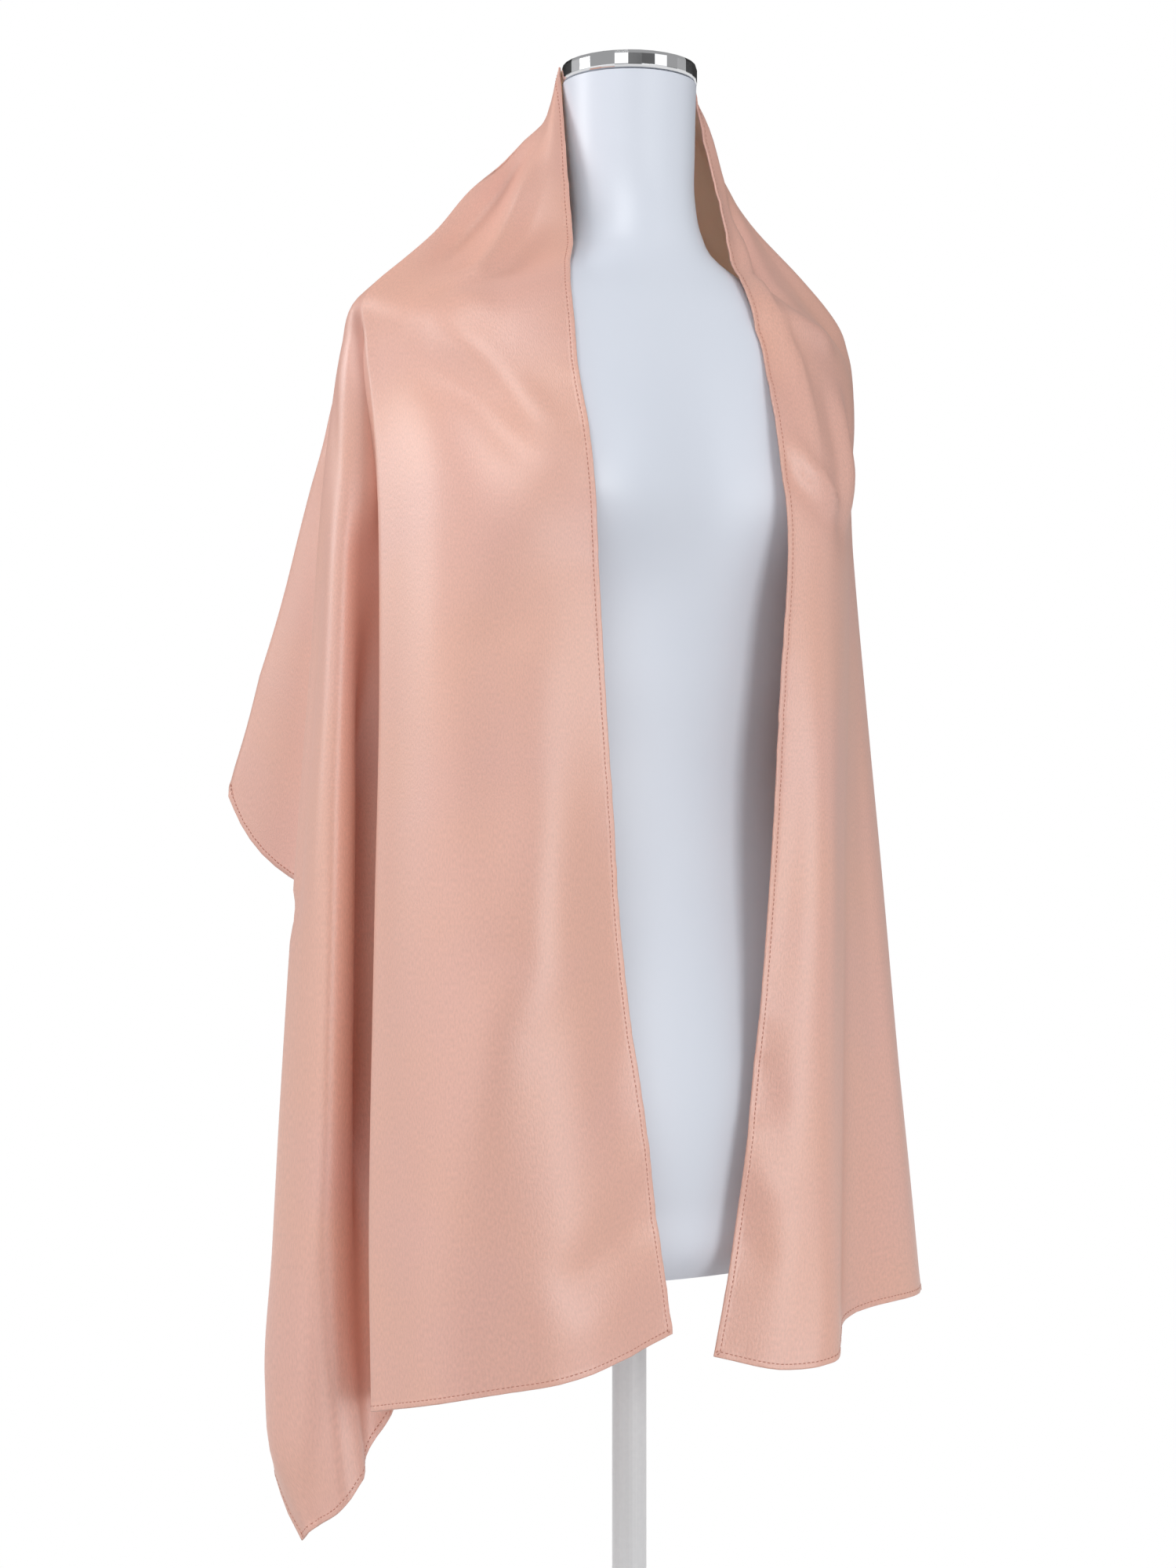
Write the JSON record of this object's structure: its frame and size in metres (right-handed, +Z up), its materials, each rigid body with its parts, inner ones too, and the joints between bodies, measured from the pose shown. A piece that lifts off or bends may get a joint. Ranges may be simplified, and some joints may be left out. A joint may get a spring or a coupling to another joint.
{
  "type": "evening stole on dress form",
  "caption": "Long satin evening stole draped open over both shoulders of a limbless dress form on a round-based pole stand.",
  "frame": {"origin": "centre of the base plate's underside, where the stand rests", "axes": "+Z up along the pole; the form faces -Y and its right shoulder is at -X"},
  "size_m": [0.4937, 0.3612, 1.4825],
  "materials": {
    "satin": "satin weave, glossy outer face, matte inner face",
    "form_shell": "smooth semi-gloss white",
    "chrome": "mirror polished",
    "white_enamel": "smooth white enamel"
  },
  "bodies": {
    "root": {"form_body": "form_shell", "neck_cap": "chrome", "form_socket": "white_enamel", "stand_pole": "white_enamel", "stand_base": "white_enamel", "stole_right_front": "satin", "stole_back": "satin", "stole_left_front": "satin"}
  },
  "joints": []
}
